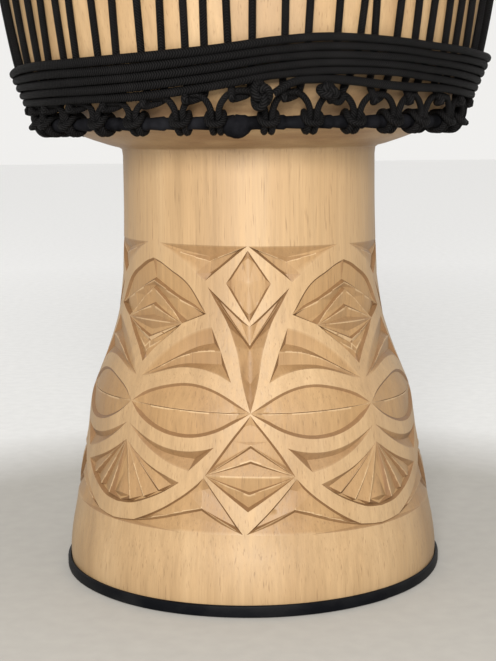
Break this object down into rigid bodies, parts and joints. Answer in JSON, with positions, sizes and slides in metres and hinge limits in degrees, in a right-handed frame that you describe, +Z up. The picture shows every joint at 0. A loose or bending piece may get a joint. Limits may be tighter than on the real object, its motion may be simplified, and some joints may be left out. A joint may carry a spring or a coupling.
{
  "type": "djembe",
  "caption": "Goblet-shaped hand drum: one carved wooden shell, a goatskin head held by steel hoops and laced rope, spare rope wound round the bowl, and a rubber strip under the foot.",
  "frame": {"origin": "centre of the foot, on the surface that the drum stands on", "axes": "+Z up along the drum's axis; the front is -Y, where the tension rope is knotted; +X is to the right of somebody who faces the front"},
  "size_m": [0.3656, 0.3656, 0.6],
  "materials": {
    "carved_wood": "oiled, vertical grain, chip-carved foot",
    "goatskin": "shaved translucent rawhide",
    "hoop_steel": "bare welded rod",
    "black_cloth": "matte cotton wrap",
    "black_rope": "braided, low-stretch, slight sheen",
    "foot_rubber": "satin"
  },
  "bodies": {
    "drum": {"shell": "carved_wood", "rubber_foot_ring": "foot_rubber", "lower_ring": "hoop_steel", "lower_ring_cloth": "black_cloth", "lower_loops": "black_rope", "lower_loops_knot": "black_rope", "tension_rope": "black_rope", "tension_rope_tail": "black_rope", "tension_rope_knot": "black_rope", "drum_head": "goatskin"},
    "hoops": {"flesh_hoop": "hoop_steel", "crown_ring": "hoop_steel", "crown_ring_cloth": "black_cloth", "crown_loops": "black_rope", "crown_loops_knot": "black_rope"}
  },
  "joints": [
    {"name": "head_tuning", "type": "slide", "parent": "drum", "child": "hoops", "axis": [0, 0, -1], "range_m": [0, 0.006], "deforming": ["drum_head", "tension_rope"]}
  ]
}
